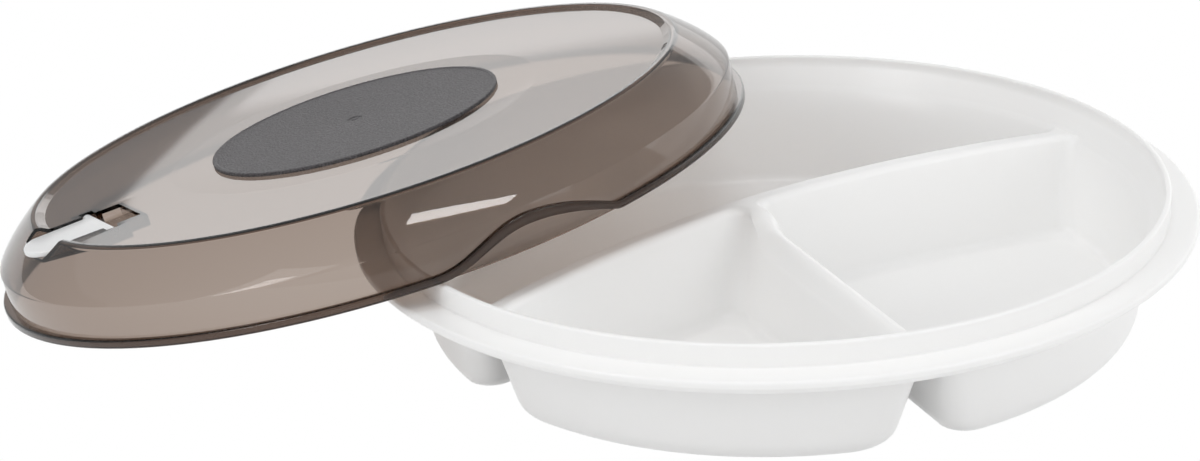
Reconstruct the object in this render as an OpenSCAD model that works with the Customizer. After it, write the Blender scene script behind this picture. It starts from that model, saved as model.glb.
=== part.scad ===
/* [Tray] */
// Outer radius of the tray's flange
tray_r = 125; // [118:1:132]
// Height of the collar's top edge above the table
tray_h = 42.3; // [41:0.1:44]
// Height of the flange's upper face
flange_h = 35.6; // [34.5:0.1:36]
// Width of the flange from the collar to its outer edge
flange_w = 8.2; // [7:0.1:10]
// Height of the flange's turned-down edge
flange_lip_h = 4.4; // [3:0.1:6]
// Wall thickness of the tray
tray_wall = 1.8; // [1.4:0.1:2]
// Distance from the collar's inner face to the cups' outer edge
rim_step = 3.7; // [3:0.1:5]
// Draft angle of the cups' outer walls
cup_draft = 14.5; // [10:0.5:16]
// Radius between a cup's wall and its floor
cup_floor_round = 8; // [5:0.5:10]
// Radius of a cup's upright corners at the top
cup_corner_r = 9; // [7:0.5:11]

/* [Dividers] */
// Height of the dividers' top edges
divider_h = 33.4; // [32:0.1:34]
// Thickness of a divider's top before its edges are rounded
divider_w = 6.4; // [6:0.1:8]
// Draft angle of the cups' walls along the dividers
divider_draft = 9.5; // [6:0.5:11]
// Rounding of the dividers' top edges
divider_round = 2.4; // [1.5:0.1:2.6]
// Radius of the main divider's curve in plan
arc_r = 309; // [280:1:400]
// Distance that the main divider bows past the tray's centre
arc_bow = 9.5; // [6:0.5:12]
// Direction from the tray's centre to the small cups
arc_angle = -52.9; // [-60:0.1:-45]
// Direction of the second divider
split_angle = -65; // [-70:0.5:-58]
// Sideways offset of the second divider from the tray's centre
split_offset = -4.5; // [-6:0.5:0]

/* [Lid] */
// Clearance between the tray's collar and the closed lid's skirt
lid_fit = 0.6; // [0.4:0.1:1.2]
// Distance that the bottom bead stands out from the skirt
bead_w = 2.35; // [1.8:0.05:3]
// Wall thickness of the lid
lid_wall = 1.5; // [1.2:0.1:1.6]
// Height of the bead at the skirt's bottom
bead_h = 2.4; // [2:0.1:3]
// Height of the lid's corner ridge above its bottom edge
ridge_h = 24.7; // [24:0.1:27]
// Distance from the skirt's outer face in to the lid's corner ridge
shoulder_w = 12; // [10:0.5:14]
// Height at which the shoulder meets the upright skirt
shoulder_h = 9.5; // [8:0.5:11]
// Height of the flat centre of the lid's top
plateau_h = 22.4; // [21.8:0.1:22.8]
// Radius of the flat centre of the lid's top
plateau_r = 60; // [50:1:70]

/* [Thumb recess] */
// Direction of the recess, counted from the lid's raised side
recess_angle = -41; // [-60:1:-20]
// Half of the angle that the recess spans
recess_half = 15; // [11:0.5:18]
// Height that the bead rises over the recess
recess_rise = 6.6; // [4:0.1:8]

/* [Lid position] */
// Clearance between the lid's lower edge and the collar that it leans on
seat_gap = 0.3; // [0.3:0.05:1]
// Distance that the lid laps over the tray's collar in plan
lid_lap = 106.1; // [104:0.1:108]
// Direction from the tray's centre to the lid's centre
lid_side = 162.15; // [160:0.05:164]
// Direction that the lid leans towards
lean_angle = 163.4; // [162:0.05:165]

/* [Centre pad] */
// Radius of the pad on the lid
pad_r = 46.5; // [35:0.5:48]
// Thickness of the pad
pad_t = 1.2; // [0.8:0.1:2]
// Radius of the moulding dimple in the pad's middle
gate_r = 2.2; // [1.6:0.1:4]
// Depth of that dimple
gate_d = 0.3; // [0.2:0.05:0.4]

/* [Vent flap] */
// Direction of the vent, counted from the lid's raised side
vent_angle = -131; // [-150:1:-110]
// Distance from the lid's corner ridge in to the flap's hinge
hinge_in = 19.4; // [18:0.1:22]
// Distance from the flap's hinge to its outer tip
flap_reach = 24.2; // [23:0.1:25]
// Width of the flap
flap_w = 21.4; // [18:0.2:23]
// Thickness of the flap
flap_t = 1.8; // [1.4:0.1:2]
// Length of the flap's hinge bar
bar_l = 29.2; // [26:0.2:31]
// Radius of the flap's hinge bar
bar_r = 1.6; // [1.4:0.1:1.8]
// Radius of the hinge pins at the bar's ends
pin_r = 1; // [0.8:0.1:1.1]
// Depth of the vent pocket below the flat centre
pocket_d = 3.4; // [3.2:0.1:4]
// Radius of the vent hole
vent_r = 2.6; // [2:0.1:3]

/* [Hidden] */
$fn = 96;

white = [0.93, 0.93, 0.92];
smoke = [0.35, 0.31, 0.28];
dark = [0.28, 0.28, 0.29];

// ---------- shared outline helpers ----------

function unit(v) = v / norm(v);
function polar(r, a) = [r * cos(a), r * sin(a)];
function heading(v) = atan2(v[1], v[0]);

// Where two circles cross; side is 1 or -1
function circles_cross(p, rp, q, rq, side) =
    let(d = norm(q - p), a = (d * d + rp * rp - rq * rq) / (2 * d),
        h = sqrt(max(0, rp * rp - a * a)), u = unit(q - p))
    p + a * u + side * h * [-u[1], u[0]];

// Where a circle crosses the line of points x with n * x = k
function line_cross(p, rp, n, k, side) =
    let(g = k - n * p)
    p + g * n + side * sqrt(max(0, rp * rp - g * g)) * [-n[1], n[0]];

// Points along an arc from heading a to heading b; turn is 1 for left, -1 for right
function arc(c, r, a, b, turn, steps, trim = 0) =
    let(raw = turn * (b - a), sweep = raw - 360 * floor(raw / 360))
    [for (i = [trim:steps - trim]) c + polar(r, a + turn * sweep * i / steps)];

// ---------- tray ----------

collar_r = tray_r - flange_w;
collar_in = collar_r - tray_wall;
cup_r = collar_in - rim_step;
arc_centre = polar(arc_r - arc_bow, arc_angle);
split_n = polar(1, split_angle + 90);
deck_h = divider_h - tray_wall;
right_shift = 5.5;
right_shift_angle = 12;
fine = 6;

// Horizontal set-back of a drafted wall at height z, with the floor's rounding
function setback(z, top, base, draft, fr) =
    let(line = (top - z) * tan(draft), start = base + fr * (1 - sin(draft)),
        mid = (top - base - fr) * tan(draft) + fr / cos(draft))
    z >= start ? line : mid - sqrt(max(0, fr * fr - pow(base + fr - z, 2)));

// Outward flare of a wall at the divider's rounded top edge
function flare(z, top, draft, r) =
    let(start = top - r * (1 - sin(draft)), up = z - top + r)
    z <= start ? 0 : r / cos(draft) - sqrt(max(0, r * r - up * up)) - up * tan(draft);

// Outline of the large cup, set in by o at the outside and by d at the divider
function big_outline(o, d, r) =
    let(ro = cup_r - o, ra = arc_r + divider_w / 2 + d, c = arc_centre,
        f1 = circles_cross([0, 0], ro - r, c, ra + r, 1),
        f2 = circles_cross([0, 0], ro - r, c, ra + r, -1))
    concat(arc([0, 0], ro, heading(f1), heading(f2), 1, 30),
           arc(f2, r, heading(f2), heading(c - f2), 1, fine, 1),
           arc(c, ra, heading(f2 - c), heading(f1 - c), -1, 16),
           arc(f1, r, heading(c - f1), heading(f1), 1, fine, 1));

// Outline of a small cup; side is -1 for the front cup and 1 for the right one
function small_outline(o, d, r, side, p) =
    let(ro = cup_r - o, rb = arc_r - divider_w / 2 - d, c = arc_centre,
        k = split_offset + side * (divider_w / 2 + d + r),
        f1 = circles_cross(p, ro - r, c, rb - r, side),
        f2 = line_cross(p, ro - r, split_n, k, -1),
        f3 = line_cross(c, rb - r, split_n, k, 1),
        n = heading(-side * split_n))
    side > 0
    ? concat(arc(p, ro, heading(f2 - p), heading(f1 - p), 1, 18),
             arc(f1, r, heading(f1 - p), heading(f1 - c), 1, fine, 1),
             arc(c, rb, heading(f1 - c), heading(f3 - c), 1, 10),
             arc(f3, r, heading(f3 - c), n, 1, fine, 1),
             arc(f2, r, n, heading(f2 - p), 1, fine, 0))
    : concat(arc(p, ro, heading(f1 - p), heading(f2 - p), 1, 18),
             arc(f2, r, heading(f2 - p), n, 1, fine, 1),
             arc(f3, r, n, heading(f3 - c), 1, fine, 0),
             arc(c, rb, heading(f3 - c), heading(f1 - c), 1, 10, 1),
             arc(f1, r, heading(f1 - c), heading(f1 - p), 1, fine, 0));

// Solid through a stack of outlines, each with the same number of points
module loft(rings, heights, hub) {
    count = len(rings[0]);
    last = len(rings) - 1;
    points = concat(
        [for (k = [0:last]) for (p = rings[k]) [p[0], p[1], heights[k]]],
        [[hub[0], hub[1], heights[0]], [hub[0], hub[1], heights[last]]]);
    foot = count * (last + 1);
    faces = concat(
        [for (k = [0:last - 1]) for (i = [0:count - 1])
            let(j = (i + 1) % count, a = k * count)
            each [[a + i, a + count + i, a + j], [a + j, a + count + i, a + count + j]]],
        [for (i = [0:count - 1]) [foot, i, (i + 1) % count]],
        [for (i = [0:count - 1]) [foot + 1, last * count + (i + 1) % count, last * count + i]]);
    polyhedron(points, faces);
}

// Heights of a cup's outlines: the floor's rounding, the wall, the top rounding
function levels(base, top, fr, tr) =
    concat([for (a = [0:18:72]) base + fr * (1 - cos(a))],
           [top - tr * 0.8, top - tr * 0.35, top]);

// which is 0 for the large cup, -1 for the front cup and 1 for the right cup;
// grow is 0 for the inside and the wall thickness for the outside
module cup(which, grow) {
    base = grow > 0 ? 0 : tray_wall;
    fr = cup_floor_round + grow;
    top = grow > 0 ? deck_h + 0.6 : divider_h;
    tr = grow > 0 ? 1 : divider_round;
    heights = levels(base, top, fr, tr);
    rings = [for (z = heights)
        let(o = setback(z, divider_h, base, cup_draft, fr) - grow
                - (grow > 0 ? 0 : flare(z, divider_h, cup_draft, tr)) + tray_wall,
            d = setback(z, divider_h, base, divider_draft, fr) - grow
                - (grow > 0 ? 0 : flare(z, divider_h, divider_draft, tr)),
            deep = (divider_h - z) / divider_h,
            r = cup_corner_r + grow + 1.5 * deep)
        which == 0 ? big_outline(o, d, r)
        : small_outline(o, d, r, which,
            which > 0 ? polar(right_shift * deep, right_shift_angle) : [0, 0])];
    hub = which == 0 ? polar(45, arc_angle + 180)
        : polar(60, which > 0 ? -17 : -102);
    loft(rings, heights, hub);
}

// Cross-section of the collar, the flange and the deck
module rim_section() {
    edge = tray_r;
    low = flange_h - flange_lip_h;
    polygon([
        [0, deck_h], [cup_r + 0.2, deck_h], [collar_r - 2.2, flange_h - tray_wall - 1.2],
        [collar_r - 0.6, flange_h - tray_wall], [edge - 3.6, flange_h - tray_wall],
        [edge - 2.8, flange_h - tray_wall - 0.5], [edge - 2.9 - 0.9, low], [edge - 2.9 + 0.3, low],
        [edge - 0.9, flange_h - 2.6], [edge - 0.15, flange_h - 1.8], [edge - 0.1, flange_h - 1.2],
        [edge - 0.6, flange_h - 0.45], [edge - 1.6, flange_h - 0.05], [edge - 2.4, flange_h],
        [collar_r - 0.1, flange_h], [collar_r - 0.5, flange_h + 0.5], [collar_r, tray_h - 1],
        [collar_r - 0.25, tray_h - 0.3], [collar_r - 0.9, tray_h],
        [collar_in + 0.25, tray_h - 0.3], [collar_in, tray_h - 1],
        [collar_in - 0.2, flange_h + 2.4], [collar_in - 0.8, flange_h + 0.8],
        [collar_in - 1.9, divider_h + 1.2], [cup_r + 0.2, divider_h], [0, divider_h]]);
}

module tray() {
    color(white) placed()
    difference() {
        union() {
            rotate_extrude($fn = 180) rim_section();
            cup(0, tray_wall);
            cup(-1, tray_wall);
            cup(1, tray_wall);
        }
        cup(0, 0);
        cup(-1, 0);
        cup(1, 0);
    }
}

// ---------- lid ----------

skirt_in = collar_r + lid_fit;
skirt_r = skirt_in + lid_wall;
lid_r = skirt_r + bead_w;
ridge_r = skirt_r - shoulder_w;
hinge_r = ridge_r - hinge_in;
flap_tip = hinge_r + flap_reach;

// The lid's centre in plan, and the front place where its lower edge crosses the collar
lid_at = polar(collar_r + lid_r - lid_lap, lid_side);
crossing = circles_cross([0, 0], collar_r, lid_at, skirt_in, 1);
uphill = (lid_at - crossing) * polar(1, lean_angle);

// Slope at which the lid's lower edge clears the collar there; start is a first guess
function slope(start) = asin((tray_h + seat_gap) / (lid_r + uphill / cos(start)));
lean = slope(slope(slope(13)));
lid_z = lid_r * sin(lean);

lean_n = [sin(lean) * cos(lean_angle), sin(lean) * sin(lean_angle)];
bead_top = bead_h - 0.5;
set_left = lid_at[0] + bead_top * lean_n[0] - lid_r * sqrt(1 - pow(lean_n[0], 2));
set_back = lid_at[1] + bead_top * lean_n[1] + lid_r * sqrt(1 - pow(lean_n[1], 2));
set_mid = [(tray_r - 0.1 + set_left) / 2, (set_back - tray_r + 0.1) / 2];

// Puts the origin under the middle of the whole set, at table level
module placed() {
    translate([-set_mid[0], -set_mid[1], 0]) children();
}

// Places what is modelled in the lid's own upright frame
module leaning() {
    placed()
    translate([lid_at[0], lid_at[1], lid_z])
        rotate([0, 0, lean_angle]) rotate([0, lean, 0]) rotate([0, 0, 180]) children();
}

// Points of the shoulder's curve between the ridge and the skirt, set in by w
function shoulder(w) =
    let(n = 8, wide = skirt_r - ridge_r, tall = ridge_h - shoulder_h)
    [for (i = [0:n]) let(a = 90 * i / n)
        [ridge_r + (wide - w) * pow(sin(a), 1.6), shoulder_h + (tall - w) * pow(cos(a), 1.35)]];

module shell_section() {
    outer = shoulder(0);
    inner = shoulder(lid_wall);
    n = len(outer) - 1;
    ridge_foot = [ridge_r - 3, ridge_h - 0.9];
    polygon(concat(
        [[0, plateau_h], [plateau_r, plateau_h], ridge_foot, [ridge_r - 1, ridge_h - 0.1]],
        outer,
        [[skirt_r, 0], [skirt_in, 0]],
        [for (i = [n:-1:0]) inner[i]],
        [ridge_foot - [0, lid_wall], [plateau_r, plateau_h - lid_wall], [0, plateau_h - lid_wall]]));
}

// Corners of the bead's section as [radius, height], set in by e and rooted at radius root
function bead_points(root, e) =
    [[root, e], [lid_r - 0.3 - e, e], [lid_r - e, 0.4 + e], [lid_r - e, bead_h - 0.5 - e],
     [lid_r - 0.5 - e, bead_h - e], [root, bead_h - e]];

// Height of the bead over the thumb recess at angle a from the recess's middle
function bead_rise(a) = recess_rise * pow(cos(90 * a / recess_half), 2);

// The bead all the way round but for the recess, which the arch fills
module bead_ring() {
    open = recess_half - bead_overlap;
    difference() {
        rotate_extrude($fn = 240) polygon(bead_points(skirt_r - 0.4, 0));
        rotate([0, 0, recess_angle]) linear_extrude(3 * bead_h, center = true)
            polygon([[0, 0], polar(2 * lid_r, -open), [2 * lid_r, 0], polar(2 * lid_r, open)]);
    }
}

module bead_arch() {
    steps = 24;
    section = bead_points(skirt_r - 0.7, 0.05);
    corners = len(section);
    points = [for (i = [0:steps])
        let(a = recess_half * (2 * i / steps - 1), t = recess_angle + a)
        for (q = section) [q[0] * cos(t), q[0] * sin(t), q[1] + bead_rise(a)]];
    sides = [for (k = [0:steps - 1]) for (i = [0:corners - 1])
        let(j = (i + 1) % corners, a = k * corners, b = a + corners)
        each [[a + i, a + j, b + i], [a + j, b + j, b + i]]];
    ends = [[for (i = [corners - 1:-1:0]) i], [for (i = [0:corners - 1]) steps * corners + i]];
    polyhedron(points, concat(sides, ends));
}

bead_overlap = 0.6;
pocket_h = plateau_h - pocket_d;
bar_h = pocket_h + bar_r + 0.3;
plug_offset = 10;
pocket_in = hinge_r - 10;
pocket_w = flap_w + 1;

// Places what is modelled along +X at the vent's direction
module at_vent() {
    rotate([0, 0, vent_angle]) children();
}

// A straight channel from the pocket's inner end out through the ridge
module channel(inner, width, low, high, r) {
    translate([0, 0, low]) linear_extrude(high - low) union() {
        translate([inner + r, -width / 2]) square([skirt_r + 8 - inner - r, width]);
        translate([inner, -width / 2 + r]) square([2 * r, width - 2 * r]);
        for (s = [-1, 1]) translate([inner + r, s * (width / 2 - r)]) circle(r);
    }
}

// A slot across the channel for the flap's hinge bar
module hinge_slot(low, high, grow) {
    half = bar_l / 2 + 0.4 + grow;
    translate([hinge_r - 2.2 - grow, -half, low]) cube([4.4 + 2 * grow, 2 * half, high - low]);
}

module lid_body() {
    difference() {
        union() {
            rotate_extrude($fn = 240) shell_section();
            bead_ring();
            bead_arch();
            intersection() {
                union() {
                    at_vent() channel(pocket_in - lid_wall, pocket_w + 2 * lid_wall,
                        pocket_h - lid_wall, plateau_h, 2.2 + lid_wall);
                    at_vent() hinge_slot(pocket_h - lid_wall, plateau_h, lid_wall + 0.6);
                }
                rotate_extrude($fn = 240) polygon(concat([[0, 0], [0, plateau_h], [plateau_r, plateau_h],
                    [ridge_r - 3, ridge_h - 1.2]], shoulder(0.2), [[skirt_r - 0.2, 0]]));
            }
        }
        at_vent() channel(pocket_in, pocket_w, pocket_h, ridge_h + 5, 2.2);
        at_vent() hinge_slot(pocket_h, ridge_h + 5, 0);
        at_vent() translate([hinge_r, 0, bar_h]) rotate([90, 0, 0])
            cylinder(r = pin_r + 0.06, h = bar_l + 2.6, center = true, $fn = 48);
        at_vent() translate([hinge_r + plug_offset, 0, pocket_h - 5])
            cylinder(r = vent_r, h = 10, $fn = 48);
    }
}

module lid() {
    color(smoke) leaning() lid_body();
}

module centre_pad() {
    border = 1.1;
    field = pad_t - 0.2;
    color(dark) leaning() translate([0, 0, plateau_h])
        rotate_extrude($fn = 180)
            polygon([[0, 0], [pad_r - 0.2, 0], [pad_r, 0.2], [pad_r, pad_t - 0.25], [pad_r - 0.3, pad_t],
                     [pad_r - border, pad_t], [pad_r - border - 0.3, field], [gate_r + 0.4, field],
                     [gate_r, field - gate_d], [gate_r - 1.1, field - gate_d],
                     [gate_r - 1.3, field - 0.1], [0, field - 0.1]]);
}

// ---------- vent flap ----------

module flap_body() {
    top = bar_h + bar_r;
    start = hinge_r - 0.2;
    tip_r = flap_w * 0.62;
    translate([0, 0, top - flap_t]) linear_extrude(flap_t) {
        translate([start, -flap_w / 2]) square([flap_tip - tip_r - start, flap_w]);
        intersection() {
            translate([flap_tip - tip_r, 0]) circle(tip_r, $fn = 96);
            translate([flap_tip - tip_r, -flap_w / 2]) square([tip_r, flap_w]);
        }
    }
    translate([hinge_r, 0, bar_h]) rotate([90, 0, 0]) {
        cylinder(r = bar_r, h = bar_l, center = true, $fn = 48);
        cylinder(r = pin_r, h = bar_l + 2, center = true, $fn = 48);
    }
    translate([hinge_r + plug_offset, 0, pocket_h - 0.4])
        cylinder(r = vent_r - 0.6, h = top - pocket_h - 0.4, $fn = 48);
}

module vent_flap() {
    color(white) leaning() at_vent() flap_body();
}

tray();
lid();
centre_pad();
vent_flap();
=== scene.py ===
import bmesh
import bpy
import math
from mathutils import Matrix, Vector


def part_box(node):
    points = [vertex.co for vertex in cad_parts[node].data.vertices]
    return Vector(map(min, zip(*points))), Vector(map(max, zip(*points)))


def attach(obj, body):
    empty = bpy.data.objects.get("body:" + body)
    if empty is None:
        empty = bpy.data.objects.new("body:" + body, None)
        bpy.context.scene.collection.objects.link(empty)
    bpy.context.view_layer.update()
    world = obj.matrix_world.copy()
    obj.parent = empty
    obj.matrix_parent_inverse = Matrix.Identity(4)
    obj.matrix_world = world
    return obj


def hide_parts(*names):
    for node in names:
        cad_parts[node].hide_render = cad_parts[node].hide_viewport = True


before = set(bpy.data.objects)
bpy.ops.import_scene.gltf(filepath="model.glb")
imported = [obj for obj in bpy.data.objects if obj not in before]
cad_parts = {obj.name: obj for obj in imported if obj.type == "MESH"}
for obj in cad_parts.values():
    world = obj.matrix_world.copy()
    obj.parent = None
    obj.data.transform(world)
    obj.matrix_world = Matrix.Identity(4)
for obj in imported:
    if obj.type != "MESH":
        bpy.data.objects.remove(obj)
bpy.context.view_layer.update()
scene = bpy.context.scene
scene.view_settings.view_transform = "Standard"
MM = 0.001
AIR = 0.02  # millimetres between faces that would otherwise coincide


# ---------- sizes in millimetres and degrees ----------

# Tray: height, flange with its turned-down lip, and the collar that stands inside the flange
TRAY_R, TRAY_H, TRAY_WALL = 125, 42.3, 1.8
FLANGE_H, FLANGE_W, FLANGE_LIP_H = 35.6, 8.2, 4.4
COLLAR_R = TRAY_R - FLANGE_W
COLLAR_IN = COLLAR_R - TRAY_WALL

# Dividers: the curved one is an arc that bows past the tray's axis, the split one is straight
DIVIDER_H, DIVIDER_W, DIVIDER_DRAFT, DIVIDER_ROUND = 33.4, 6.4, 9.5, 2.4
DECK_H = DIVIDER_H - TRAY_WALL
ARC_R, ARC_BOW, ARC_ANGLE = 309, 9.5, -52.9
SPLIT_ANGLE, SPLIT_OFFSET = -65, -4.5

# Crest of the split divider: height, radius of its rounding, half the width that is cut away over it,
# and half the width and the depth of the solid plastic that carries it
CREST_H, CREST_ROUND, CREST_HALF = 30.4, 2, 5
FILLER_HALF, FILLER_DEPTH = 3, 4

# Cups: draft, floor and corners, and how the hollow widens towards the collar from BLEND_START up
CUP_R = COLLAR_IN - 3.7
CUP_DRAFT, OUTER_FLOOR_ROUND, INNER_FLOOR_ROUND = 14.5, 8 + TRAY_WALL, 4
OUTER_CORNER_R, INNER_CORNER_R, CORNER_GROWTH = 5.5, 5, 1.5
BLEND_START, BLEND_W = 27, 1.5
RIGHT_SHIFT, RIGHT_SHIFT_ANGLE = 5.5, 12

# Lid: skirt and bead, raised rim with its inner crease and its crest, and the shoulder outside it,
# which is bent by two powers
LID_WALL = 1.5
SKIRT_IN = COLLAR_R + 0.6
SKIRT_R = SKIRT_IN + LID_WALL
LID_R = SKIRT_R + 2.35
LID_EDGE = LID_R - 0.04
BEAD_H, BEAD_LOW, RIDGE_H = 2.4, 0.03, 24.7
CREST_TOP = RIDGE_H - 0.05
PLATEAU_H, PLATEAU_R = 22.4, 60
CREASE_R, CREASE_H, CREST_R = 100.8, 23.3, 104.8
SHOULDER_BASE, SHOULDER_OUT, SHOULDER_UP = 12, 1.8, 1.65

# Thumb recess: direction, reach to the left and the right, how far the bead rises and how it thickens
ARCH_ANGLE, ARCH_LEFT, ARCH_RIGHT, ARCH_RISE, ARCH_LIP = -42.3, 13.8, 14, 7.4, 0.8

# Leaning lid: gap over the collar, overlap of the circles, and the directions of its place and its lean
SEAT_GAP, LID_LAP, LID_SIDE, LEAN_ANGLE = 0.3, 106.1, 162.15, 163.4

# Pad in the middle of the lid, with its raised border and the gate mark in its middle
PAD_R, PAD_T, PAD_BORDER, PAD_STEP = 46.5, 1.2, 1.1, 0.2
GATE_R, GATE_RING, GATE_DEPTH = 0.9, 2.6, 0.3

# Steam vent: its hinge, its flap, and the pocket that it lies in
VENT_ANGLE = -131
HINGE_R = SKIRT_R - 31.4
FLAP_START, FLAP_TIP = HINGE_R - 0.2, HINGE_R + 24.2
FLAP_W, FLAP_T, FLAP_EDGE = 21.4, 1.8, 0.35
FLAP_END_R = FLAP_W * 0.62
BAR_L, BAR_R, PIN_R, PIN_REACH = 29.2, 1.6, 1.0, 1
POCKET_H = PLATEAU_H - 3.4
BAR_H = POCKET_H + BAR_R + 0.3
PLUG_OFFSET, PLUG_GAP, PLUG_DEPTH, PLUG_SINK, VENT_R = 10, 0.6, 0.4, 0.8, 2.6
EAR_GAP, EAR_HALF, EAR_WALL, EAR_TOP = 0.4, 2.2, LID_WALL + 0.6, PLATEAU_H - 0.4
TUB_SKIN = 0.25

# How far cutting shapes reach past what they cut
OVER, THROUGH = 3, 5


# ---------- plane geometry ----------

def polar(radius, degrees):
    return Vector((radius * math.cos(math.radians(degrees)), radius * math.sin(math.radians(degrees))))


def heading(way):
    return math.degrees(math.atan2(way.y, way.x))


def circles_cross(one, one_r, other, other_r, side):
    """Where two circles cross, to the left (side 1) or right (side -1) of the way from one to the other."""
    apart = (other - one).length
    along = (apart * apart + one_r * one_r - other_r * other_r) / (2 * apart)
    across = math.sqrt(max(0, one_r * one_r - along * along))
    unit = (other - one) / apart
    return one + along * unit + side * across * Vector((-unit.y, unit.x))


def line_cross(centre, radius, normal, distance, side):
    """Where a circle crosses the line that lies at a distance from the origin along its normal."""
    gap = distance - normal.dot(centre)
    across = math.sqrt(max(0, radius * radius - gap * gap))
    return centre + gap * normal + side * across * Vector((-normal.y, normal.x))


def arc(centre, radius, start, end, turn, steps, trim=0):
    """Points of an arc; trim leaves out that many at both ends."""
    sweep = (turn * (end - start)) % 360
    return [centre + polar(radius, start + turn * sweep * i / steps) for i in range(trim, steps - trim + 1)]


def rounded(corners, steps):
    """A path of (x, y, radius) corners as points, each corner rounded by its radius."""
    path = []
    for i, (x, y, radius) in enumerate(corners):
        here = Vector((x, y))
        if radius <= 0 or i in (0, len(corners) - 1):
            path.append(here)
            continue
        before, after = Vector(corners[i - 1][:2]) - here, Vector(corners[i + 1][:2]) - here
        half = before.angle(after) / 2
        reach = min(radius / math.tan(half), 0.49 * before.length, 0.49 * after.length)
        first, last = here + before.normalized() * reach, here + after.normalized() * reach
        for k in range(steps + 1):
            t = k / steps
            path.append((1 - t) ** 2 * first + 2 * t * (1 - t) * here + t * t * last)
    return path


SHORTEST_STEP = 0.02  # millimetres between neighbouring points of a moved path


def inset_path(path, by):
    """The same path moved to the right of its direction of travel, without folds."""
    moved = []
    for i, here in enumerate(path):
        along = (path[min(i + 1, len(path) - 1)] - path[max(i - 1, 0)]).normalized()
        spot = here + by * Vector((along.y, -along.x))
        if not moved or (spot - moved[-1]).dot(along) > SHORTEST_STEP:
            moved.append(spot)
    return moved


# ---------- mesh helpers ----------

WELD = 1e-5  # millimetres within which points are one
ON_AXIS = 1e-6  # millimetres from the axis within which a point of a section lies on it
SHARP_ANGLE = 30  # degrees between two faces from which their edge is sharp


def new_piece(name, points, faces):
    mesh = bpy.data.meshes.new(name)
    mesh.from_pydata([tuple(p) for p in points], [], faces)
    shape = bmesh.new()
    shape.from_mesh(mesh)
    bmesh.ops.remove_doubles(shape, verts=shape.verts, dist=WELD)
    bmesh.ops.recalc_face_normals(shape, faces=shape.faces)
    shape.to_mesh(mesh)
    shape.free()
    piece = bpy.data.objects.new(name, mesh)
    scene.collection.objects.link(piece)
    return piece


def revolve(name, section, steps, height_at=None):
    """A closed (radius, height) section turned about Z; height_at(angle, i, z) may shift a point."""
    points, ring = [], []
    for i, p in enumerate(section):
        if p[0] < ON_AXIS:
            ring.append([len(points)] * steps)
            points.append((0, 0, p[1]))
            continue
        ring.append(list(range(len(points), len(points) + steps)))
        for k in range(steps):
            angle = 360 * k / steps
            z = height_at(angle, i, p[1]) if height_at else p[1]
            spot = polar(p[0], angle)
            points.append((spot.x, spot.y, z))
    faces = []
    count = len(section)
    for i in range(count):
        low, high = ring[i], ring[(i + 1) % count]
        for k in range(steps):
            j = (k + 1) % steps
            face = []
            for v in (low[k], low[j], high[j], high[k]):
                if v not in face:
                    face.append(v)
            if len(face) > 2:
                faces.append(face)
    return new_piece(name, points, faces)


def loft(name, rings, heights):
    """A solid through rings of equally many points, one ring at each height, with flat ends."""
    count = len(rings[0])
    points = [(p.x, p.y, z) for ring, z in zip(rings, heights) for p in ring]
    faces = []
    for k in range(len(rings) - 1):
        for i in range(count):
            j = (i + 1) % count
            faces.append((k * count + i, k * count + j, (k + 1) * count + j, (k + 1) * count + i))
    faces.append(tuple(reversed(range(count))))
    faces.append(tuple(range((len(rings) - 1) * count, len(rings) * count)))
    return new_piece(name, points, faces)


def ring_of(out, radius, steps=32):
    """A circle whose centre lies out along X."""
    return [Vector((out, 0)) + polar(radius, 360 * i / steps) for i in range(steps)]


def prism(name, outline, low, high):
    return loft(name, [outline, outline], [low, high])


def combine(piece, other, operation):
    """Joins other to piece or cuts piece with it, and uses other up."""
    step = piece.modifiers.new("combine", "BOOLEAN")
    step.operation = operation
    step.solver = "EXACT"
    step.object = other
    bpy.context.view_layer.update()
    result = bpy.data.meshes.new_from_object(piece.evaluated_get(bpy.context.evaluated_depsgraph_get()))
    piece.modifiers.clear()
    piece.data = result
    bpy.data.objects.remove(other)


def finish(piece, place, material, body, *nodes):
    """Puts a piece made in millimetres in its place in the frame and gives it its body and its looks."""
    shape = piece.data
    shape.transform(place @ Matrix.Scale(MM, 4))
    shape.materials.clear()
    shape.materials.append(material)
    shape.shade_smooth()
    shape.set_sharp_from_angle(angle=math.radians(SHARP_ANGLE))
    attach(piece, body)
    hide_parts(*nodes)


# ---------- where the tray and the leaning lid stand ----------

tray_low, tray_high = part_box("tray")
AXIS = Vector(((tray_low.x + tray_high.x) / 2, (tray_low.y + tray_high.y) / 2, 0))
tray_place = Matrix.Translation(AXIS)
FIRST_LEAN, LEAN_ROUNDS = 13, 3  # degrees, and how often the lean is worked out anew


def lean_of(lid_at):
    """The lean at which the lid's far edge stands on the table and its lower rim passes over the collar.

    The gap is measured where the skirt's circle crosses the collar's, and a few rounds find the lean.
    """
    crossing = circles_cross(Vector((0, 0)), COLLAR_R, lid_at, SKIRT_IN, 1)
    uphill = (lid_at - crossing).dot(polar(1, LEAN_ANGLE))
    lean = math.radians(FIRST_LEAN)
    for attempt in range(LEAN_ROUNDS):
        lean = math.asin((TRAY_H + SEAT_GAP) / (LID_R + uphill / math.cos(lean)))
    return lean


lid_at = polar(COLLAR_R + LID_R - LID_LAP, LID_SIDE)
lean = lean_of(lid_at)
lid_place = (
    Matrix.Translation(AXIS + Vector((lid_at.x, lid_at.y, LID_R * math.sin(lean))) * MM)
    @ Matrix.Rotation(math.radians(LEAN_ANGLE), 4, "Z")
    @ Matrix.Rotation(lean, 4, "Y")
    @ Matrix.Rotation(math.pi, 4, "Z")
)
at_vent = Matrix.Rotation(math.radians(VENT_ANGLE), 4, "Z")


# ---------- camera ----------

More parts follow.
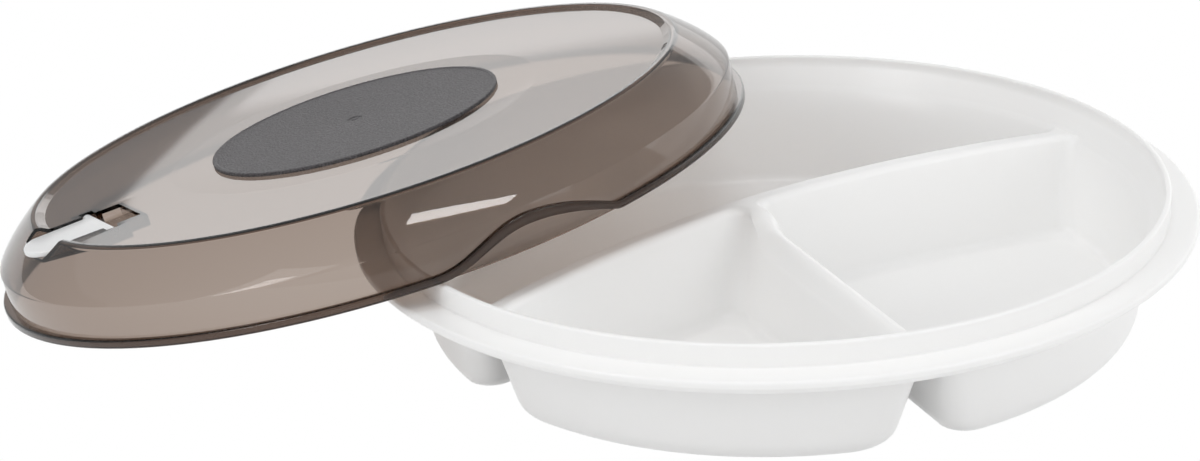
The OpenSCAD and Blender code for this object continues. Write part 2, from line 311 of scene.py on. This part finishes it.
SENSOR_W, LENS = 36, 76.53
CAMERA_PLACE = Vector((0, -0.7106, 0.3191))  # metres from the foot of the tray's axis
CAMERA_TURN, CAMERA_TILT, CAMERA_ROLL = -0.0729, 0.3888, -0.0529  # radians


def add_camera():
    data = bpy.data.cameras.new("view")
    data.sensor_width = SENSOR_W
    data.lens = LENS
    camera = bpy.data.objects.new("view", data)
    scene.collection.objects.link(camera)
    turn, tilt, roll = CAMERA_TURN, CAMERA_TILT, CAMERA_ROLL
    ahead = Vector((math.sin(turn) * math.cos(tilt), math.cos(turn) * math.cos(tilt), -math.sin(tilt)))
    side = Vector((math.cos(turn), -math.sin(turn), 0))
    up = side.cross(ahead)
    right = math.cos(roll) * side + math.sin(roll) * up
    top = -math.sin(roll) * side + math.cos(roll) * up
    place = Matrix((right, top, -ahead)).transposed().to_4x4()
    place.translation = AXIS + CAMERA_PLACE
    camera.matrix_world = place
    scene.camera = camera


add_camera()


# ---------- materials ----------

def new_material(name):
    material = bpy.data.materials.new(name)
    material.use_nodes = True
    return material, material.node_tree, material.node_tree.nodes["Principled BSDF"]


def add_node(tree, kind, values=(), **settings):
    """A shader node with values for its sockets and settings of its own."""
    node = tree.nodes.new("ShaderNode" + kind)
    for name, value in settings.items():
        setattr(node, name, value)
    for name, value in dict(values).items():
        node.inputs[name].default_value = value
    return node


def noise_bump(tree, shader, scale, strength, distance, detail):
    """Fine unevenness of the surface; returns its noise, so that a colour can follow it."""
    place = add_node(tree, "TexCoord")
    noise = add_node(tree, "TexNoise", {"Scale": scale, "Detail": detail})
    bump = add_node(tree, "Bump", {"Strength": strength, "Distance": distance})
    tree.links.new(place.outputs["Object"], noise.inputs["Vector"])
    tree.links.new(noise.outputs["Fac"], bump.inputs["Height"])
    tree.links.new(bump.outputs["Normal"], shader.inputs["Normal"])
    return noise


def white_plastic(name, colour, roughness):
    """Milky moulded plastic that lets a little light through."""
    material, tree, shader = new_material(name)
    shader.inputs["Base Color"].default_value = (*colour, 1)
    shader.inputs["Roughness"].default_value = roughness
    shader.inputs["IOR"].default_value = 1.49
    shader.inputs["Subsurface Weight"].default_value = 0.15
    shader.inputs["Subsurface Radius"].default_value = (1, 0.96, 0.92)
    shader.inputs["Subsurface Scale"].default_value = 0.003
    noise_bump(tree, shader, scale=260, strength=0.05, distance=0.0003, detail=3)
    return material


def smoke_plastic(name):
    """Clear plastic that is tinted through its thickness; lamps shine straight through its faces."""
    material, tree, shader = new_material(name)
    shader.inputs["Base Color"].default_value = (1, 1, 1, 1)
    shader.inputs["Roughness"].default_value = 0.03
    shader.inputs["IOR"].default_value = 1.5
    shader.inputs["Transmission Weight"].default_value = 1
    noise_bump(tree, shader, scale=22, strength=0.012, distance=0.0004, detail=1)
    inside = add_node(tree, "VolumeAbsorption", {"Color": (0.46, 0.345, 0.26, 1), "Density": 1150})
    clear = add_node(tree, "BsdfTransparent", {"Color": (1, 1, 1, 1)})
    path = add_node(tree, "LightPath")
    mix = add_node(tree, "MixShader")
    out = tree.nodes["Material Output"]
    tree.links.new(path.outputs["Is Shadow Ray"], mix.inputs[0])
    tree.links.new(shader.outputs[0], mix.inputs[1])
    tree.links.new(clear.outputs[0], mix.inputs[2])
    tree.links.new(mix.outputs[0], out.inputs["Surface"])
    tree.links.new(inside.outputs[0], out.inputs["Volume"])
    return material


def grained_plastic(name):
    """Dark matt plastic with a fine moulded grain, paler on the tops of the grain."""
    material, tree, shader = new_material(name)
    shader.inputs["Roughness"].default_value = 0.5
    grain = noise_bump(tree, shader, scale=1500, strength=0.8, distance=0.0006, detail=2)
    tint = add_node(tree, "ValToRGB")
    dark, pale = tint.color_ramp.elements
    dark.position, dark.color = 0.35, (0.05, 0.047, 0.05, 1)
    pale.position, pale.color = 0.65, (0.115, 0.108, 0.114, 1)
    tree.links.new(grain.outputs["Fac"], tint.inputs["Fac"])
    tree.links.new(tint.outputs["Color"], shader.inputs["Base Color"])
    return material


TRAY = white_plastic("tray_white", (0.96, 0.958, 0.952), 0.28)
FLAP = white_plastic("flap_white", (0.9, 0.905, 0.91), 0.3)
LID = smoke_plastic("lid_smoke")
PAD = grained_plastic("pad_grain")


# ---------- tray ----------

CORNER_STEPS = 10
LARGE_RIM_STEPS, LARGE_FACE_STEPS, SMALL_RIM_STEPS, SMALL_FACE_STEPS = 96, 40, 60, 24
CUP_TOP = DECK_H + 0.6  # where the outsides of the cups end, inside the deck
arc_centre = polar(ARC_R - ARC_BOW, ARC_ANGLE)
split_normal = polar(1, SPLIT_ANGLE + 90)


def setback(z, top, base, draft, floor_round):
    """How far a drafted wall with a rounded foot has come in at height z, from where it is at the top."""
    slope = math.radians(draft)
    start = base + floor_round * (1 - math.sin(slope))
    middle = (top - base - floor_round) * math.tan(slope) + floor_round / math.cos(slope)
    if z >= start:
        return (top - z) * math.tan(slope)
    return middle - math.sqrt(max(0, floor_round ** 2 - (base + floor_round - z) ** 2))


def flare(z, top, draft, radius):
    """How far the rounded top edge of a drafted wall opens the cup at height z."""
    slope = math.radians(draft)
    up = z - top + radius
    if z <= top - radius * (1 - math.sin(slope)):
        return 0
    return radius / math.cos(slope) - math.sqrt(max(0, radius ** 2 - up * up)) - up * math.tan(slope)


def large_outline(rim_back, divider_back, corner):
    """Plan of the large cup: the rim's arc, two rounded corners and the curved divider's outer face."""
    middle, rim = Vector((0, 0)), CUP_R - rim_back
    face = ARC_R + DIVIDER_W / 2 + divider_back
    one = circles_cross(middle, rim - corner, arc_centre, face + corner, 1)
    other = circles_cross(middle, rim - corner, arc_centre, face + corner, -1)
    return (
        arc(middle, rim, heading(one), heading(other), 1, LARGE_RIM_STEPS)
        + arc(other, corner, heading(other), heading(arc_centre - other), 1, CORNER_STEPS, 1)
        + arc(arc_centre, face, heading(other - arc_centre), heading(one - arc_centre), -1, LARGE_FACE_STEPS)
        + arc(one, corner, heading(arc_centre - one), heading(one), 1, CORNER_STEPS, 1)
    )


def small_outline(rim_back, divider_back, corner, side, middle):
    """Plan of a small cup: the rim's arc and the faces of both dividers, with three rounded corners.

    side is -1 for the front cup and 1 for the right one, and middle is the centre of the rim's arc.
    """
    rim, face = CUP_R - rim_back, ARC_R - DIVIDER_W / 2 - divider_back
    offset = SPLIT_OFFSET + side * (DIVIDER_W / 2 + divider_back + corner)
    at_arc = circles_cross(middle, rim - corner, arc_centre, face - corner, side)
    at_split = line_cross(middle, rim - corner, split_normal, offset, -1)
    at_hub = line_cross(arc_centre, face - corner, split_normal, offset, 1)
    arc_end, hub_end = heading(at_arc - arc_centre), heading(at_hub - arc_centre)
    to_split = heading(-side * split_normal)
    if side > 0:
        return (
            arc(middle, rim, heading(at_split - middle), heading(at_arc - middle), 1, SMALL_RIM_STEPS)
            + arc(at_arc, corner, heading(at_arc - middle), arc_end, 1, CORNER_STEPS, 1)
            + arc(arc_centre, face, arc_end, hub_end, 1, SMALL_FACE_STEPS)
            + arc(at_hub, corner, hub_end, to_split, 1, CORNER_STEPS, 1)
            + arc(at_split, corner, to_split, heading(at_split - middle), 1, CORNER_STEPS)[:-1]
        )
    return (
        arc(middle, rim, heading(at_arc - middle), heading(at_split - middle), 1, SMALL_RIM_STEPS)
        + arc(at_split, corner, heading(at_split - middle), to_split, 1, CORNER_STEPS, 1)
        + arc(at_hub, corner, to_split, hub_end, 1, CORNER_STEPS)
        + arc(arc_centre, face, hub_end, arc_end, 1, SMALL_FACE_STEPS)[1:-1]
        + arc(at_arc, corner, arc_end, heading(at_arc - middle), 1, CORNER_STEPS)[:-1]
    )


def cup_rings(side, wall, heights, base, floor_round, edge):
    """The plans of a cup at each height, wider by wall, and for the hollow also flared at the top."""
    opening = 0 if wall else 1
    rings = []
    for z in heights:
        blend = max(0, (z - BLEND_START) / (DIVIDER_H - BLEND_START)) ** 2
        rim_back = (
            setback(z, DIVIDER_H, base, CUP_DRAFT, floor_round) - wall + TRAY_WALL
            - opening * BLEND_W * blend
        )
        divider_back = (
            setback(z, DIVIDER_H, base, DIVIDER_DRAFT, floor_round) - wall
            - opening * flare(z, DIVIDER_H, DIVIDER_DRAFT, edge)
        )
        deep = (DIVIDER_H - z) / DIVIDER_H
        corner = (OUTER_CORNER_R if wall else INNER_CORNER_R) + CORNER_GROWTH * deep
        if side == 0:
            rings.append(large_outline(rim_back, divider_back, corner))
        else:
            shift = polar(RIGHT_SHIFT * deep, RIGHT_SHIFT_ANGLE) if side > 0 else Vector((0, 0))
            rings.append(small_outline(rim_back, divider_back, corner, side, shift))
    return rings


def cup(side, wall):
    """A cup as a solid: its hollow if wall is 0, and its outside if wall is the wall's thickness.

    side is 0 for the large cup, -1 for the front one and 1 for the right one.
    """
    base = 0 if wall else TRAY_WALL
    floor_round = OUTER_FLOOR_ROUND if wall else INNER_FLOOR_ROUND
    top = CUP_TOP if wall else DIVIDER_H
    edge = 1 if wall else DIVIDER_ROUND
    low = [base + floor_round * (1 - math.cos(math.radians(a))) for a in range(0, 79, 6)]
    high = [top - edge * (1 - math.sin(math.radians(a))) for a in range(10, 91, 10)]
    heights = low + [low[-1] + (high[0] - low[-1]) * i / 5 for i in range(1, 5)] + high
    rings = cup_rings(side, wall, heights, base, floor_round, edge)
    if not wall:
        heights = heights + [top + AIR]
        rings = rings + [rings[-1]]
    return loft("cup", rings, heights)


def along_split(name, rings, spots):
    """A loft that runs out along the split divider, from its hub to just inside the rim."""
    along = polar(1, SPLIT_ANGLE)
    across = split_normal
    hub = line_cross(arc_centre, ARC_R - DIVIDER_W / 2, across, SPLIT_OFFSET, 1).dot(along)
    piece = loft(name, rings, [hub + spot for spot in spots] + [CUP_R - TRAY_WALL - 4])
    piece.data.transform(Matrix((
        (across.x, 0, along.x, across.x * SPLIT_OFFSET),
        (across.y, 0, along.y, across.y * SPLIT_OFFSET),
        (0, 1, 0, 0),
        (0, 0, 0, 1),
    )))
    return piece


def crest_filler():
    """Solid plastic that carries the split divider's crest, between the walls of the two small cups."""
    low, high = CREST_H - FILLER_DEPTH, DIVIDER_H - 0.3
    ring = [
        Vector((FILLER_HALF, low)), Vector((FILLER_HALF, high)),
        Vector((-FILLER_HALF, high)), Vector((-FILLER_HALF, low)),
    ]
    return along_split("crest_filler", [ring, ring], [2])


def saddle():
    """The space over the split divider, whose crest sinks and rounds off on the way out from the hub."""
    rings = []
    for top in (DIVIDER_H + AIR, DIVIDER_H - 0.3, DIVIDER_H - 1.2, CREST_H + 0.5, CREST_H, CREST_H):
        bend = max(0, DIVIDER_H - top) / (DIVIDER_H - CREST_H) / (2 * CREST_ROUND)
        arch = [Vector((d / 2, top - bend * d * d / 4)) for d in range(-2 * CREST_HALF, 2 * CREST_HALF + 1)]
        above = [Vector((CREST_HALF, DIVIDER_H + OVER)), Vector((-CREST_HALF, DIVIDER_H + OVER))]
        rings.append(above + arch)
    return along_split("saddle", rings, [3, 6, 10, 15, 20])


def make_tray():
    under, lip_low = FLANGE_H - TRAY_WALL, FLANGE_H - FLANGE_LIP_H
    edge = TRAY_R - 0.1
    section = rounded([
        # under the deck, and out under the flange
        (0, DECK_H, 0), (CUP_R + 0.2, DECK_H, 0.5), (COLLAR_R - 2.2, under - 1.2, 1),
        (COLLAR_R - 0.6, under, 1), (TRAY_R - 2.9, under, 0.7),
        # round the flange's lip and back over its top
        (TRAY_R - 3.8, lip_low, 0.3), (TRAY_R - 2.6, lip_low, 0.4), (edge, FLANGE_H - 2.2, 1),
        (edge, FLANGE_H, 1.9), (COLLAR_R - 0.5, FLANGE_H, 0.6),
        # up and over the collar, and down its inside to the dividers' tops
        (COLLAR_R, TRAY_H, 0.9), (COLLAR_IN, TRAY_H, 0.8), (COLLAR_IN - 0.1, DIVIDER_H + 6.2, 6),
        (CUP_R - 0.32, DIVIDER_H, 0), (0, DIVIDER_H, 0),
    ], steps=6)
    piece = revolve("tray_shell", section, steps=360)
    for side in (0, -1, 1):
        combine(piece, cup(side, TRAY_WALL), "UNION")
    combine(piece, crest_filler(), "UNION")
    for side in (0, -1, 1):
        combine(piece, cup(side, 0), "DIFFERENCE")
    combine(piece, saddle(), "DIFFERENCE")
    finish(piece, tray_place, TRAY, "tray", "tray")


make_tray()


# ---------- lid ----------

# The vent's channel from the hinge outwards: radius, how far its sides flare, how far its floor rises
TROUGH_RUN = (
    (HINGE_R + 6, 0, 0), (98, 0.1, 0.6), (CREASE_R + 1, 0.8, 1), (CREST_R, 2.6, 1.3),
    (108, 3.6, 1.6), (112, 4, 2), (SKIRT_R + 6, 4.4, 3),
)
# One side of the channel from the top down: share of the flare, how far it is in, height over the floor
TROUGH_SIDE = ((0.8, 0, 4.6), (0.45, 0, 2.8), (0.12, 0, 1.2), (0, 0.5, 0.15), (0, 1.2, 0))


def shoulder():
    """The outside from the crest, where it sets out level, down to the skirt, where it ends upright."""
    bends = [math.radians(a) for a in range(6, 91, 3)]
    return [
        Vector((CREST_R + (SKIRT_R - CREST_R) * math.sin(a) ** SHOULDER_OUT,
                SHOULDER_BASE + (CREST_TOP - SHOULDER_BASE) * abs(math.cos(a)) ** SHOULDER_UP))
        for a in bends
    ]


def shell_top():
    """The lid's outer surface from its centre over the raised crest to the foot of its shoulder."""
    dish = rounded([
        (0, PLATEAU_H, 0), (PLATEAU_R, PLATEAU_H, 30), (CREASE_R, CREASE_H, 0.8),
        (CREST_R - 1.6, CREST_TOP, 2.2), (CREST_R, CREST_TOP, 0),
    ], steps=8)
    return dish + shoulder()


def arch_rise(angle):
    """How far the bead rises over the thumb recess, slowly from the left and steeply at the right."""
    away = (angle - ARCH_ANGLE + 180) % 360 - 180
    if away < 0:
        return ARCH_RISE * math.cos(math.radians(90 * max(-1, away / ARCH_LEFT))) ** 2
    return ARCH_RISE * math.cos(math.radians(90 * min(1, away / ARCH_RIGHT)))


def turned(piece):
    piece.data.transform(at_vent)
    return piece


def trough(name, grow):
    """The channel for the flap: upright walls by the hinge, flared ones where it leaves over the crest."""
    side = (FLAP_W + 1) / 2 + grow
    stations = [(HINGE_R - 10 - grow, 0, 0), *TROUGH_RUN]
    rings = []
    for spot, flared, lift in stations:
        floor = POCKET_H - grow + lift
        ring = [Vector((side + flared, RIDGE_H + OVER))]
        ring += [Vector((side + flared * share - inwards, floor + up)) for share, inwards, up in TROUGH_SIDE]
        rings.append(ring + [Vector((-p.x, p.y)) for p in reversed(ring)])
    piece = loft(name, rings, [spot for spot, flared, lift in stations])
    piece.data.transform(Matrix(((0, 0, 1, 0), (1, 0, 0, 0), (0, 1, 0, 0), (0, 0, 0, 1))))
    return turned(piece)


def hinge_slot(name, low, high, grow):
    """The slot across the channel that takes the hinge bar."""
    half, deep = BAR_L / 2 + EAR_GAP + grow, EAR_HALF + grow
    corners = ((-1, -1), (1, -1), (1, 1), (-1, 1))
    outline = [Vector((HINGE_R + out * deep, across * half)) for out, across in corners]
    return turned(prism(name, outline, low, high))


def vent_tub():
    """The walls round the channel and its slot, kept just under the lid's outer surface."""
    tub = trough("tub", LID_WALL)
    ears = hinge_slot("tub_ears", POCKET_H - LID_WALL, EAR_TOP, EAR_WALL)
    combine(tub, ears, "UNION")
    skin = inset_path(shell_top(), TUB_SKIN)
    skin[0].x = 0
    limit = revolve("tub_limit", [Vector((0, 0))] + skin + [Vector((skin[-1].x, 0))], steps=240)
    combine(tub, limit, "INTERSECT")
    return tub


def make_lid():
    outer = shell_top()
    bead_start = len(outer)
    outer += rounded([
        (SKIRT_R, BEAD_H, 0), (LID_EDGE, BEAD_H, 0.6), (LID_EDGE, BEAD_LOW, 0.5),
        (SKIRT_R, BEAD_LOW, 0),
    ], steps=4)
    bead_end = len(outer)
    lining = inset_path(shell_top(), LID_WALL)
    lining[0].x = 0
    inner = [Vector((SKIRT_R, AIR)), Vector((SKIRT_IN, AIR))] + lining[::-1]

    def height_at(angle, i, z):
        if not bead_start <= i < bead_end:
            return z
        rise = arch_rise(angle)
        return z + rise + (ARCH_LIP * rise / ARCH_RISE if z > BEAD_H / 2 else 0)

    piece = revolve("lid_shell", outer + inner, steps=480, height_at=height_at)
    combine(piece, vent_tub(), "UNION")
    combine(piece, trough("pocket", 0), "DIFFERENCE")
    combine(piece, hinge_slot("ears", POCKET_H, RIDGE_H + THROUGH, 0), "DIFFERENCE")
    round_hole = ring_of(HINGE_R + PLUG_OFFSET, VENT_R)
    hole = prism("hole", round_hole, POCKET_H - THROUGH, POCKET_H + THROUGH)
    combine(piece, turned(hole), "DIFFERENCE")
    finish(piece, lid_place, LID, "lid", "lid")


make_lid()


# ---------- pad ----------

def make_pad():
    border, field = PAD_R - PAD_BORDER, PAD_T - PAD_STEP
    section = rounded([
        # the disc's edge and its raised border
        (0, AIR, 0), (PAD_R, AIR, 0.15), (PAD_R, PAD_T, 0.35), (border, PAD_T, 0.2),
        (border - 0.35, field, 0.2),
        # the ring and the dot of the gate mark in the middle
        (GATE_RING, field, 0.2), (GATE_RING - 0.4, field - GATE_DEPTH, 0.2),
        (GATE_R + 0.2, field - GATE_DEPTH, 0.1), (GATE_R, field - 0.1, 0.1), (0, field - 0.1, 0),
    ], steps=4)
    piece = revolve("pad_disc", section, steps=240)
    finish(piece, lid_place @ Matrix.Translation((0, 0, PLATEAU_H * MM)), PAD, "lid", "centre_pad")


make_pad()


# ---------- vent flap ----------

def rod(name, radius, length, edge):
    """A round bar on the hinge's axis."""
    section = rounded([
        (0, -length / 2, 0), (radius, -length / 2, edge), (radius, length / 2, edge), (0, length / 2, 0),
    ], steps=4)
    piece = revolve(name, section, steps=32)
    piece.data.transform(Matrix.Translation((HINGE_R, 0, BAR_H)) @ Matrix.Rotation(math.pi / 2, 4, "X"))
    return piece


def flap_plate():
    """The flap's plate: straight sides, a round tip, and softened edges above and below."""
    top = BAR_H + BAR_R
    centre = Vector((FLAP_TIP - FLAP_END_R, 0))
    reach = math.degrees(math.asin(FLAP_W / 2 / FLAP_END_R))

    def outline(inset):
        half = FLAP_W / 2 - inset
        end = arc(centre, FLAP_END_R - inset, -reach, reach, 1, 24)
        return [Vector((FLAP_START, -half))] + end + [Vector((FLAP_START, half))]

    bends = [math.radians(a) for a in (0, 30, 60, 90)]
    insets = [FLAP_EDGE * (1 - math.sin(b)) for b in bends] + [FLAP_EDGE * (1 - math.cos(b)) for b in bends]
    heights = [top - FLAP_T + FLAP_EDGE * (1 - math.cos(b)) for b in bends]
    heights += [top - FLAP_EDGE * (1 - math.sin(b)) for b in bends]
    return loft("flap_plate", [outline(inset) for inset in insets], heights)


def make_flap():
    piece = flap_plate()
    combine(piece, rod("bar", BAR_R, BAR_L, edge=0.3), "UNION")
    combine(piece, rod("pins", PIN_R, BAR_L + 2 * PIN_REACH, edge=0.2), "UNION")
    round_plug = ring_of(HINGE_R + PLUG_OFFSET, VENT_R - PLUG_GAP)
    plug = prism("plug", round_plug, POCKET_H - PLUG_DEPTH, BAR_H + BAR_R - PLUG_SINK)
    combine(piece, plug, "UNION")
    turned(piece)
    finish(piece, lid_place, FLAP, "vent_flap", "vent_flap")


make_flap()


# ---------- floor and light ----------

FLOOR_HALF, FLOOR_DROP = 3.0, 0.0004  # metres

# The room's even light, and patches of light in it: from and to in degrees to the right of the back,
# low and top as the height that a way of length 1 reaches, and strength. The patches lean by SWEEP_TILT
# radians as they rise by 1, and their sides and ends fade over the two soft widths.
ROOM_LIGHT = 0.58
SWEEP_TILT = -0.7
SOFT_SIDE, SOFT_END = 0.004, 0.01
PATCHES = (
    (-23.7, 75, -0.3, 0.3, 1.3),  # the bright sweep behind the table
    (-23, 75, 0.14, 0.26, 1.9),  # a brighter band in it
    (-100, -23.8, -0.3, 0.3, 0.45),  # the unlit corner to its left
)

# Softboxes aimed at the tray: place from the foot of its axis and size in metres, watts, and whether
# reflections show them
SOFTBOXES = (
    ("top_strip", (0, -0.15, 1.03), (0.42, 0.1), 1.4, True),
    ("front_box", (0.25, -1, 1), (1.6, 1.2), 0.8, True),
    ("side_fill", (1, -0.6, 0.42), (0.8, 0.5), 1.6, False),
    ("right_box", (0.85, -0.55, 0.62), (0.3, 0.8), 0.8, True),
    ("left_box", (-0.85, -0.8, 0.7), (0.22, 0.6), 1.7, True),
    ("left_glow", (-0.86, -0.81, 0.7), (0.5, 1.1), 1.9, True),
)


def seen_directly(tree):
    """1 for what the camera sees, also by way of a reflection or through the lid."""
    path = add_node(tree, "LightPath")
    share = path.outputs["Is Camera Ray"]
    for kind in ("Is Glossy Ray", "Is Transmission Ray"):
        either = add_node(tree, "Math", operation="MAXIMUM")
        tree.links.new(share, either.inputs[0])
        tree.links.new(path.outputs[kind], either.inputs[1])
        share = either.outputs[0]
    return share


def add_floor():
    """A pale floor that the camera sees as plain white, so the object's shadow doesn't show on it."""
    half = FLOOR_HALF
    corners = [(-half, -half, 0), (half, -half, 0), (half, half, 0), (-half, half, 0)]
    floor = new_piece("floor", corners, [(0, 1, 2, 3)])
    floor.location = (0, 0, -FLOOR_DROP)
    material, tree, shader = new_material("floor_white")
    shader.inputs["Base Color"].default_value = (0.85, 0.85, 0.85, 1)
    shader.inputs["Roughness"].default_value = 0.9
    glow = add_node(tree, "Emission")
    mix = add_node(tree, "MixShader")
    tree.links.new(seen_directly(tree), mix.inputs[0])
    tree.links.new(shader.outputs[0], mix.inputs[1])
    tree.links.new(glow.outputs[0], mix.inputs[2])
    tree.links.new(mix.outputs[0], tree.nodes["Material Output"].inputs["Surface"])
    floor.data.materials.append(material)


def between(tree, value, low, high, soft):
    """1 while value lies from low to high, falling to 0 over soft on either side."""
    rise = add_node(tree, "MapRange", {"From Min": low - soft, "From Max": low})
    fall = add_node(tree, "MapRange", {"From Min": high + soft, "From Max": high})
    both = add_node(tree, "Math", operation="MULTIPLY")
    for i, node in enumerate((rise, fall)):
        tree.links.new(value, node.inputs["Value"])
        tree.links.new(node.outputs["Result"], both.inputs[i])
    return both.outputs[0]


def room_light(tree):
    """The room's light by direction: even, with each patch laid over what came before it."""
    place = add_node(tree, "TexCoord")
    split = add_node(tree, "SeparateXYZ")
    turn = add_node(tree, "Math", operation="ARCTAN2")
    tilted = add_node(tree, "Math", {1: SWEEP_TILT}, operation="MULTIPLY_ADD")
    tree.links.new(place.outputs["Generated"], split.inputs[0])
    tree.links.new(split.outputs["X"], turn.inputs[0])
    tree.links.new(split.outputs["Y"], turn.inputs[1])
    tree.links.new(split.outputs["Z"], tilted.inputs[0])
    tree.links.new(turn.outputs[0], tilted.inputs[2])
    level = None
    for start, end, low, top, strength in PATCHES:
        across = between(tree, tilted.outputs[0], math.radians(start), math.radians(end), SOFT_SIDE)
        upward = between(tree, split.outputs["Z"], low, top, SOFT_END)
        inside = add_node(tree, "Math", operation="MULTIPLY")
        mix = add_node(tree, "Mix", {"A": ROOM_LIGHT, "B": strength})
        tree.links.new(across, inside.inputs[0])
        tree.links.new(upward, inside.inputs[1])
        tree.links.new(inside.outputs[0], mix.inputs["Factor"])
        if level is not None:
            tree.links.new(level, mix.inputs["A"])
        level = mix.outputs["Result"]
    return level


def add_world():
    """A plain pale room that the camera sees as plain white."""
    world = bpy.data.worlds.new("studio")
    scene.world = world
    world.use_nodes = True
    tree = world.node_tree
    sky = tree.nodes["Background"]
    sky.inputs["Color"].default_value = (1, 1, 1, 1)
    path = add_node(tree, "LightPath")
    seen = add_node(tree, "Mix", {"B": 1})
    tree.links.new(path.outputs["Is Camera Ray"], seen.inputs["Factor"])
    tree.links.new(room_light(tree), seen.inputs["A"])
    tree.links.new(seen.outputs["Result"], sky.inputs["Strength"])


def add_softbox(name, place, size, power, reflected):
    data = bpy.data.lights.new(name, "AREA")
    data.shape = "RECTANGLE"
    data.size, data.size_y = size
    data.energy = power
    lamp = bpy.data.objects.new(name, data)
    lamp.location = AXIS + Vector(place)
    lamp.rotation_euler = (AXIS - lamp.location).to_track_quat("-Z", "Y").to_euler()
    lamp.visible_camera = False
    lamp.visible_glossy = reflected
    scene.collection.objects.link(lamp)


add_floor()
add_world()
for softbox in SOFTBOXES:
    add_softbox(*softbox)
